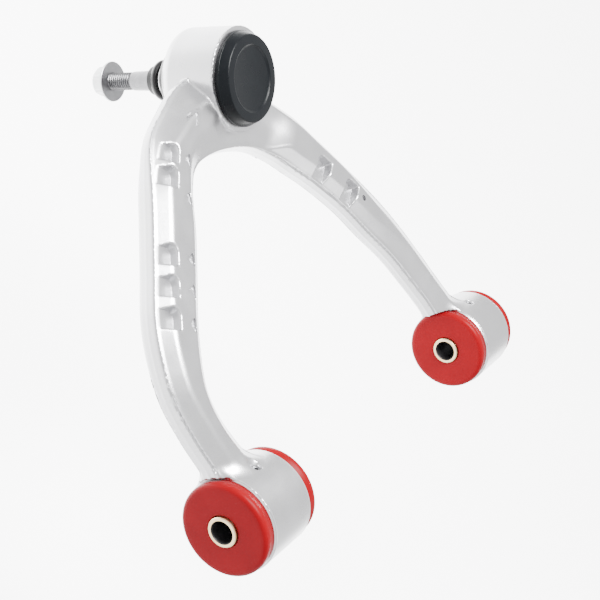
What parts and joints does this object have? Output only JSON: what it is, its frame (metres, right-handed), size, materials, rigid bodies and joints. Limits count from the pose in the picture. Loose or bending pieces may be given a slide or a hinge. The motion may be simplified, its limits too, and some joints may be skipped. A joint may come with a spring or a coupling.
{
  "type": "control arm",
  "caption": "Forged A-shaped suspension upper control arm with bushed pivots, pocketed limbs and a capped, booted ball joint with stud and flange nut.",
  "frame": {"origin": "on the pivot axis, halfway between the two bushings", "axes": "+X along the pivot axis from the front bushing to the rear one, +Y towards the ball joint in the plane of the arm, +Z out of the arm's upper, capped side"},
  "size_m": [0.3801, 0.3189, 0.1309],
  "materials": {
    "forged_aluminium": "fine bead-blasted forging",
    "sleeve_zinc": "pale zinc plate, turned",
    "red_polyurethane": "moulded, satin",
    "black_cap": "black coated, turned",
    "black_rubber": "moulded, glossy",
    "plug_steel": "plain steel",
    "spring_steel": "ground steel",
    "stud_steel": "ground and rolled steel",
    "ring_steel": "drawn wire",
    "nut_zinc": "clear zinc plate",
    "race_polymer": "natural acetal",
    "insert_polymer": "nylon"
  },
  "bodies": {
    "sleeves": {"front_sleeve": "sleeve_zinc", "rear_sleeve": "sleeve_zinc"},
    "arm": {"forged_arm": "forged_aluminium", "front_bushing_outer": "red_polyurethane", "front_bushing_inner": "red_polyurethane", "rear_bushing_inner": "red_polyurethane", "rear_bushing_outer": "red_polyurethane", "front_grease_plug": "plug_steel", "rear_grease_plug": "plug_steel", "ball_joint_cap": "black_cap", "cap_seal_ring": "black_rubber", "preload_spring": "spring_steel", "pressure_plate": "plug_steel", "upper_race": "race_polymer", "lower_race": "spring_steel", "boot_lower": "black_rubber", "boot_base_clamp": "ring_steel"},
    "liner": {"ball_liner": "race_polymer", "boot_upper": "black_rubber", "boot_waist_ring": "ring_steel"},
    "neck": {"boot_neck_ring": "black_rubber"},
    "stud": {"ball_stud": "stud_steel", "flange_nut": "nut_zinc", "nut_lock_insert": "insert_polymer"}
  },
  "joints": [
    {"name": "arm_swing", "type": "hinge", "parent": "sleeves", "child": "arm", "pos_m": [0, 0, 0], "axis": [1, 0, 0], "range_deg": [-25, 25]},
    {"name": "ball_swing", "type": "hinge", "parent": "arm", "child": "liner", "pos_m": [-0.024, 0.249, 0], "axis": [1, 0, 0], "range_deg": [-22, 22], "deforming": ["boot_lower"]},
    {"name": "ball_lean", "type": "hinge", "parent": "liner", "child": "neck", "pos_m": [-0.024, 0.249, 0], "axis": [0, 0.9511, 0.309], "range_deg": [-12, 12], "deforming": ["boot_upper", "boot_waist_ring"]},
    {"name": "stud_spin", "type": "hinge", "parent": "neck", "child": "stud", "pos_m": [-0.024, 0.249, 0], "axis": [0, -0.309, 0.9511], "continuous": true}
  ]
}
